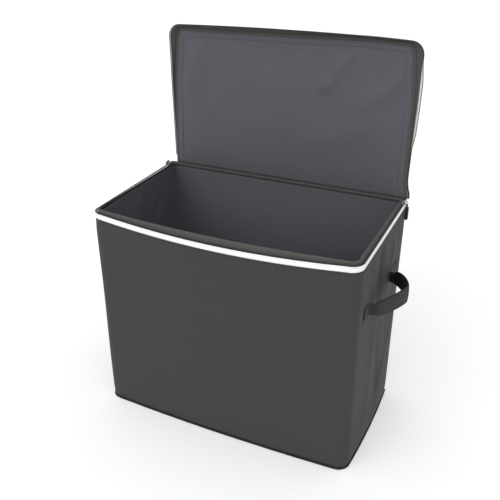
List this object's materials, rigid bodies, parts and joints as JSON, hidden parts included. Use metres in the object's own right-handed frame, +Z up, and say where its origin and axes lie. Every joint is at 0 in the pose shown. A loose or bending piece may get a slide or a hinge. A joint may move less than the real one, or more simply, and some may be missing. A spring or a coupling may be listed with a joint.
{
  "type": "graded comic storage case",
  "caption": "Soft-sided storage case for upright graded comic slabs, with boards in its walls, a fabric-hinged zip lid, paired sliders and a strap handle at each end.",
  "frame": {"origin": "centre of the base on the surface it rests on", "axes": "+Z up, +X to the right end seen from the front, +Y to the hinge side"},
  "size_m": [0.49, 0.255, 0.5721],
  "materials": {
    "outer_fabric": "matte coated woven fabric",
    "lining_fabric": "matte lining cloth",
    "lip_fabric": "matte bound cloth",
    "piping_fabric": "matte dark binding",
    "zip_tape": "white woven tape",
    "zip_coil": "moulded nylon coil",
    "stiffener_board": "plain board",
    "slider_metal": "plated die casting",
    "pull_rubber": "moulded matte rubber",
    "webbing": "woven webbing"
  },
  "bodies": {
    "case": {"base_cover": "outer_fabric", "base_board": "stiffener_board", "floor_lining": "lining_fabric", "base_piping": "piping_fabric", "front_panel": "outer_fabric", "back_panel": "outer_fabric", "left_panel": "outer_fabric", "right_panel": "outer_fabric", "front_left_corner": "outer_fabric", "front_right_corner": "outer_fabric", "rear_left_corner": "outer_fabric", "rear_right_corner": "outer_fabric", "front_board": "stiffener_board", "back_board": "stiffener_board", "left_board": "stiffener_board", "right_board": "stiffener_board", "inner_lining": "lining_fabric", "rim_lip": "lip_fabric", "rim_zip_tape": "zip_tape", "rim_zip_coil": "zip_coil", "right_zip_end_tab": "outer_fabric", "left_zip_end_tab": "outer_fabric", "hinge_strip": "outer_fabric", "hinge_welt": "outer_fabric", "right_handle_front_anchor": "webbing", "right_handle_rear_anchor": "webbing", "left_handle_front_anchor": "webbing", "left_handle_rear_anchor": "webbing"},
    "lid": {"lid_cover": "outer_fabric", "lid_board": "stiffener_board", "lid_lining": "lining_fabric", "lid_border": "piping_fabric", "lid_piping": "piping_fabric", "lid_skirt": "piping_fabric", "lid_zip_tape": "zip_tape", "lid_zip_coil": "zip_coil", "lid_flap": "outer_fabric"},
    "right_slider": {"right_slider": "slider_metal"},
    "right_pull_link": {"right_pull_link": "slider_metal"},
    "right_pull_tab": {"right_pull_tab": "pull_rubber"},
    "right_handle_grip": {"right_handle_grip": "webbing"},
    "left_slider": {"left_slider": "slider_metal"},
    "left_pull_link": {"left_pull_link": "slider_metal"},
    "left_pull_tab": {"left_pull_tab": "pull_rubber"},
    "left_handle_grip": {"left_handle_grip": "webbing"}
  },
  "joints": [
    {"name": "lid_hinge", "type": "hinge", "parent": "case", "child": "lid", "pos_m": [0, 0.117, 0.336], "axis": [1, 0, 0], "range_deg": [-100, 91]},
    {"name": "right_slider_travel", "type": "slide", "parent": "case", "child": "right_slider", "axis": [0, -0.9985, -0.0541], "range_m": [0, 0.19]},
    {"name": "right_link_swing", "type": "hinge", "parent": "right_slider", "child": "right_pull_link", "pos_m": [0.207, 0.09996, 0.34435], "axis": [0, -1, 0], "range_deg": [-1, 150]},
    {"name": "right_tab_swing", "type": "hinge", "parent": "right_pull_link", "child": "right_pull_tab", "pos_m": [0.207, 0.09996, 0.34015], "axis": [1, 0, 0], "range_deg": [-80, 80]},
    {"name": "right_handle_swing", "type": "hinge", "parent": "case", "child": "right_handle_grip", "pos_m": [0.21083, -0.012, 0.247], "axis": [0, 1, 0], "range_deg": [-53, 87], "stiffness_Nm_per_rad": 0.15},
    {"name": "left_slider_travel", "type": "slide", "parent": "case", "child": "left_slider", "axis": [0, -0.9985, -0.0541], "range_m": [0, 0.19]},
    {"name": "left_link_swing", "type": "hinge", "parent": "left_slider", "child": "left_pull_link", "pos_m": [-0.207, 0.09996, 0.34435], "axis": [0, 1, 0], "range_deg": [-1, 150]},
    {"name": "left_tab_swing", "type": "hinge", "parent": "left_pull_link", "child": "left_pull_tab", "pos_m": [-0.207, 0.09996, 0.34015], "axis": [1, 0, 0], "range_deg": [-80, 80]},
    {"name": "left_handle_swing", "type": "hinge", "parent": "case", "child": "left_handle_grip", "pos_m": [-0.21083, -0.012, 0.247], "axis": [0, -1, 0], "range_deg": [-53, 87], "stiffness_Nm_per_rad": 0.15}
  ]
}
